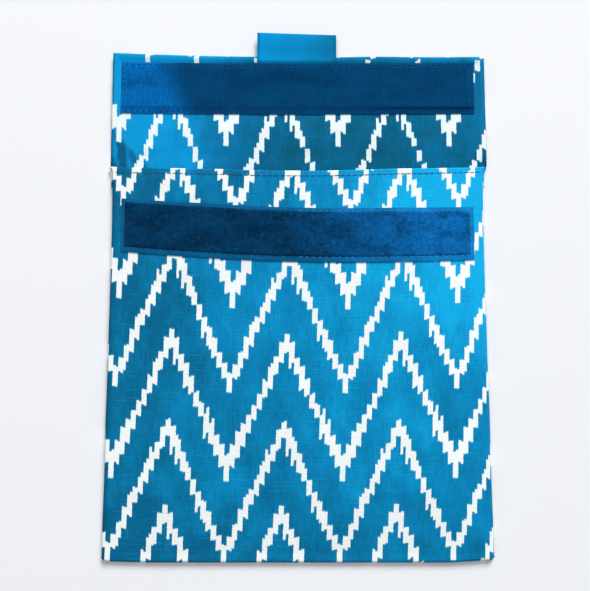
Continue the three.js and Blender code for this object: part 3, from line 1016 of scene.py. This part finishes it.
def topstitch(side, sign):
    """The stitches along one half of the mouth."""

    def path(s):
        x = sign * s
        y = MOUTH - TOPSTITCH_INSET - cloth_sag(x, MOUTH)
        return [x, y, front_height(x, y) + 0.06]

    return stitches(f"{side}_mouth_topstitch", path, POUCH_HALF - 1.8, brown_thread, **TOPSTITCH)


for side, sign in (("left", -1), ("right", 1)):
    row = topstitch(side, sign)
    if side == "left":
        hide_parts("mouth_topstitch")
    blend_front(row, side)


# The loop tape.


def loop_grid(inset, below, spacing, height):
    """A grid over the loop tape, this far inside its edges and its lower edge."""
    half, top = LOOP_HALF - inset, LOOP_HEIGHT - inset
    xs = LOOP_CENTRE + np.linspace(-half, half, 2 * int(half / spacing) + 1)
    ks = np.linspace(below, top, int((top - below) / spacing) + 2)
    x, k = np.meshgrid(xs, ks)
    y = LOOP_START + k + loop_offset(x)
    return np.stack([x, y, height(x, y, k)], 2), np.stack([x, k], 2)


def base_top(x, y, k):
    """The woven base, which is thinner at its edges."""
    edge = np.minimum(np.minimum(k, LOOP_HEIGHT - k), LOOP_HALF - np.abs(x - LOOP_CENTRE))
    return loop_surface(x, y) - 0.22 * (1 - smooth(0, 0.9, edge))


def pile_top(x, y, k):
    """The tufted pile."""
    edge = np.minimum(k - PILE_BELOW, LOOP_HEIGHT - k - PILE_INSET)
    edge = np.minimum(edge, LOOP_HALF - PILE_INSET - np.abs(x - LOOP_CENTRE))
    tuft = 0.5 + 0.5 * ripple(x, y, 32, 2.2, 5.0, 16)
    grain = np.random.default_rng(31).uniform(0, 1, x.shape)
    full = 0.42 + 0.22 * tuft + 0.16 * grain
    return loop_surface(x, y) - 0.1 + full * smooth(-0.2, 0.8, edge)


base_grid = loop_grid(0.0, 0.0, spacing=0.9, height=base_top)
base_pieces = split_at_middle("loop_tape_base", *base_grid, TAPE_BASE, loop_base, "loop_tape")

pile_grid = loop_grid(PILE_INSET, PILE_BELOW, spacing=0.55, height=pile_top)
split_at_middle("loop_pile", *pile_grid, PILE_THICKNESS, loop_pile, "loop_tape")


def loop_fibres(side, count, seed):
    """Single nylon loops that stand out of the pile."""
    random = np.random.default_rng(seed)
    sign = -1 if side == "left" else 1
    stations, sides = 6, 3
    x = LOOP_CENTRE + sign * random.uniform(0.3, LOOP_HALF - PILE_INSET - 0.8, count)
    k = random.uniform(PILE_BELOW + 0.6, LOOP_HEIGHT - PILE_INSET - 0.6, count)
    turn = random.uniform(0, 2 * math.pi, count)
    wide = random.uniform(0.6, 1.9, count)
    high = random.uniform(0.25, 0.55, count)
    radius = random.uniform(0.035, 0.07, count)
    y = LOOP_START + k + loop_offset(x)
    ground = loop_surface(x, y) + 0.42
    points = np.zeros((count, stations, sides, 3))
    for s, bow in enumerate(np.linspace(0, math.pi, stations)):
        out = wide * 0.5 * math.cos(bow)
        for a in range(sides):
            phase = 2 * math.pi * a / sides
            apart = radius * math.cos(phase)
            points[:, s, a, 0] = x + np.cos(turn) * out - np.sin(turn) * apart
            points[:, s, a, 1] = y + np.sin(turn) * out + np.cos(turn) * apart
            points[:, s, a, 2] = ground + high * math.sin(bow) + radius * math.sin(phase)
    uv = np.repeat(np.stack([x, k], 1), stations * sides, axis=0)
    faces, _ = tube_faces(count, stations, sides)
    return make_piece(f"{side}_pile_fibres", points, faces, loop_fibre, uv)


loop_ring_bounds = (
    LOOP_CENTRE,
    LOOP_HALF - PILE_INSET + LOOP_RING_OUT,
    LOOP_START + PILE_BELOW - LOOP_RING_OUT,
    LOOP_START + LOOP_HEIGHT - PILE_INSET + LOOP_RING_OUT,
)
# The right half's stitches take the paler copy of the thread, as painted light from the right.
for side, seed, thread in (("left", 40, blue_thread), ("right", 41, painted_lit_thread)):
    fibres = loop_fibres(side, FIBRES_A_SIDE, seed)
    blend_front(fibres, side)
    ring = join_pieces(
        f"{side}_loop_tape_stitching",
        half_ring("ring", side, loop_ring_bounds, loop_offset, loop_surface, thread, LOOP_STITCH),
    )
    if side == "left":
        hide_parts("loop_tape_stitching")
        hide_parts("loop_tape")
    blend_front(ring, side)


# The pull tab and the hook tape.


def tab_grid():
    """The folded ribbon, which lies a little askew: lower layer out, round the end and back on top."""
    xs = np.linspace(-TAB_HALF, TAB_HALF, 37)
    end = TAB_END - TAB_BEND
    low = np.linspace(TAB_START, end, 26)
    bend = np.radians(np.linspace(-90, 90, 9))[1:-1]
    places = [(y, 0.0) for y in low]
    places += [(end + TAB_BEND * math.cos(a), 0.5 + 0.5 * math.sin(a)) for a in bend]
    places += [(y, 1.0) for y in low[::-1]]
    rows = []
    v = 0.0
    before = places[0]
    for y, part in places:
        v += max(abs(y - before[0]), TAB_GAP * abs(part - before[1]))
        before = (y, part)
        puff = 0.35 * smooth(FLAP_EDGE, FLAP_EDGE + 5, y) * (1 - smooth(TAB_END - 2.5, TAB_END, y))
        gap = TAB_GAP + puff * (1 - (xs / TAB_HALF) ** 2)
        x = TAB_ASIDE + xs * (1 + 0.004 * part)
        skew = -0.034 * xs * smooth(FLAP_EDGE - 2, TAB_END, y)
        rows.append((x, y + skew, tab_underside(xs + TAB_ASIDE, y) + part * gap, xs, v))
    return sheet_grid(rows)


tab = closed_sheet("pull_tab_ribbon", *tab_grid(), RIBBON, satin, up=False)
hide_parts("pull_tab", "pull_tab_sewn_ends")
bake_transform(tab)


def hook_grid():
    """The hook tape's base, which is thinner at its edges and ripples a little."""
    x, k = np.meshgrid(np.linspace(-HOOK_HALF, HOOK_HALF, 197), np.linspace(HOOK_START, HOOK_END, 34))
    y = k + hook_offset(x)
    edge = np.minimum(np.minimum(k - HOOK_START, HOOK_END - k), HOOK_HALF - np.abs(x))
    z = hook_surface(x, y) + 0.05 * ripple(x, y, 51, 9, 22) - 0.2 * (1 - smooth(0, 0.9, edge))
    return np.stack([x, y, z], 2), np.stack([x, k], 2)


hook_piece = closed_sheet("hook_tape_base", *hook_grid(), TAPE_BASE - 0.05, hook_base)
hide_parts("hook_tape")
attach(hook_piece, "flap")


def hooks():
    """Rows of moulded hooks, whose tips bend over in turn to the right and to the left."""
    random = np.random.default_rng(52)
    xs = np.arange(-HOOK_HALF + HOOK_FIELD, HOOK_HALF - HOOK_FIELD, HOOK_STEP)
    ks = np.arange(HOOK_START + 2.2, HOOK_END - 2.0, HOOK_ROW)
    x, k = [a.ravel() for a in np.meshgrid(xs, ks)]
    side = np.where((np.round((k - ks[0]) / HOOK_ROW) % 2) == 0, 1.0, -1.0)
    x = x + random.uniform(-0.12, 0.12, x.shape) + 0.3 * side
    k = k + random.uniform(-0.08, 0.08, k.shape)
    y = k + hook_offset(x)
    ground = hook_surface(x, y) - 0.08
    tall = HOOK_HIGH * random.uniform(0.92, 1.04, x.shape)

    # A hook's middle line, as millimetres out and a share of its height, and its radius.
    path = np.array([[0, 0], [0.02, 0.45], [0.06, 0.8], [0.24, 1.0], [0.44, 0.86], [0.5, 0.62]])
    size = np.array([0.16, 0.11, 0.095, 0.085, 0.07, 0.045])
    tilt = np.gradient(path, axis=0)
    tilt = tilt / np.linalg.norm(tilt, axis=1, keepdims=True)
    sides = 5
    points = np.zeros((len(x), len(path), sides, 3))
    for s, (out, up) in enumerate(path):
        for a in range(sides):
            turn = 2 * math.pi * a / sides
            across = size[s] * math.cos(turn)
            points[:, s, a, 0] = x + side * (out + across * tilt[s, 1])
            points[:, s, a, 1] = y + size[s] * math.sin(turn)
            points[:, s, a, 2] = ground + tall * up - across * tilt[s, 0]
    uv = np.repeat(np.stack([x, k], 1), len(path) * sides, axis=0)
    faces, index = tube_faces(len(x), len(path), sides)
    return make_piece("hooks", points, [*faces, *index[:, -1]], hook_nylon, uv)


hook_rows = hooks()
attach(hook_rows, "flap")

hook_ring_bounds = (0.0, HOOK_HALF - HOOK_RING_IN, HOOK_START + HOOK_RING_IN, HOOK_END - HOOK_RING_IN)
hook_rings = []
for side in ("left", "right"):
    hook_rings += half_ring(
        "hook_ring", side, hook_ring_bounds, hook_offset, hook_surface, navy_thread, HOOK_STITCH
    )
hook_ring = join_pieces("hook_tape_stitching", hook_rings)
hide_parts("hook_tape_stitching")
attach(hook_ring, "flap")


# The floor, the light and the camera, in metres.

FLOOR_HALF = 4.0
FLOOR_Z = -0.0001


def floor():
    """The pale table that the bag lies on."""
    corners = [(x * FLOOR_HALF, y * FLOOR_HALF, FLOOR_Z) for x, y in ((-1, -1), (1, -1), (1, 1), (-1, 1))]
    mesh = bpy.data.meshes.new("floor")
    mesh.from_pydata(corners, [], [(0, 1, 2, 3)])
    g = Graph("pale_floor")
    mesh.materials.append(g.finish(Base_Color=srgb(241, 243, 247), Roughness=0.9, Specular_IOR_Level=0.1))
    made = bpy.data.objects.new("floor", mesh)
    bpy.context.scene.collection.objects.link(made)


def area_light(name, place, power, size=2.0):
    """A square lamp that looks at the bag's middle."""
    light = bpy.data.lights.new(name, "AREA")
    light.shape = "RECTANGLE"
    light.size = light.size_y = size
    light.energy = power
    made = bpy.data.objects.new(name, light)
    made.location = place
    made.rotation_mode = "QUATERNION"
    made.rotation_quaternion = (-Vector(place)).to_track_quat("-Z", "Y")
    bpy.context.scene.collection.objects.link(made)


def surroundings(light, shown):
    """A white room, which lights the bag less than it shows itself."""
    world = bpy.data.worlds.new("studio")
    bpy.context.scene.world = world
    world.use_nodes = True
    nodes, links = world.node_tree.nodes, world.node_tree.links
    background = nodes["Background"]
    background.inputs["Color"].default_value = (1, 1, 1, 1)
    seen = nodes.new("ShaderNodeLightPath")
    strength = nodes.new("ShaderNodeMapRange")
    strength.inputs["To Min"].default_value = light
    strength.inputs["To Max"].default_value = shown
    links.new(seen.outputs["Is Camera Ray"], strength.inputs["Value"])
    links.new(strength.outputs[0], background.inputs["Strength"])


def place_camera():
    """The camera looks down at the bag, from a little below its middle."""
    lens = bpy.data.cameras.new("camera")
    lens.lens = LENS
    lens.sensor_width = 36.0
    camera = bpy.data.objects.new("camera", lens)
    bpy.context.scene.collection.objects.link(camera)
    aim = Vector(to_frame([CAMERA_AIM])[0])
    lean = math.radians(CAMERA_LEAN)
    back = Vector((0, -math.sin(lean), math.cos(lean)))
    camera.location = aim + back * CAMERA_DISTANCE / 1000.0
    camera.rotation_mode = "QUATERNION"
    camera.rotation_quaternion = (-back).to_track_quat("-Z", "Y")
    bpy.context.scene.camera = camera


floor()
area_light("key", (1.1, 3.7, 2.8), 228.0)
area_light("window", (-1.4, 1.2, 4.4), 49.0)
surroundings(light=0.26, shown=0.88)
place_camera()
bpy.context.scene.view_settings.view_transform = "Standard"
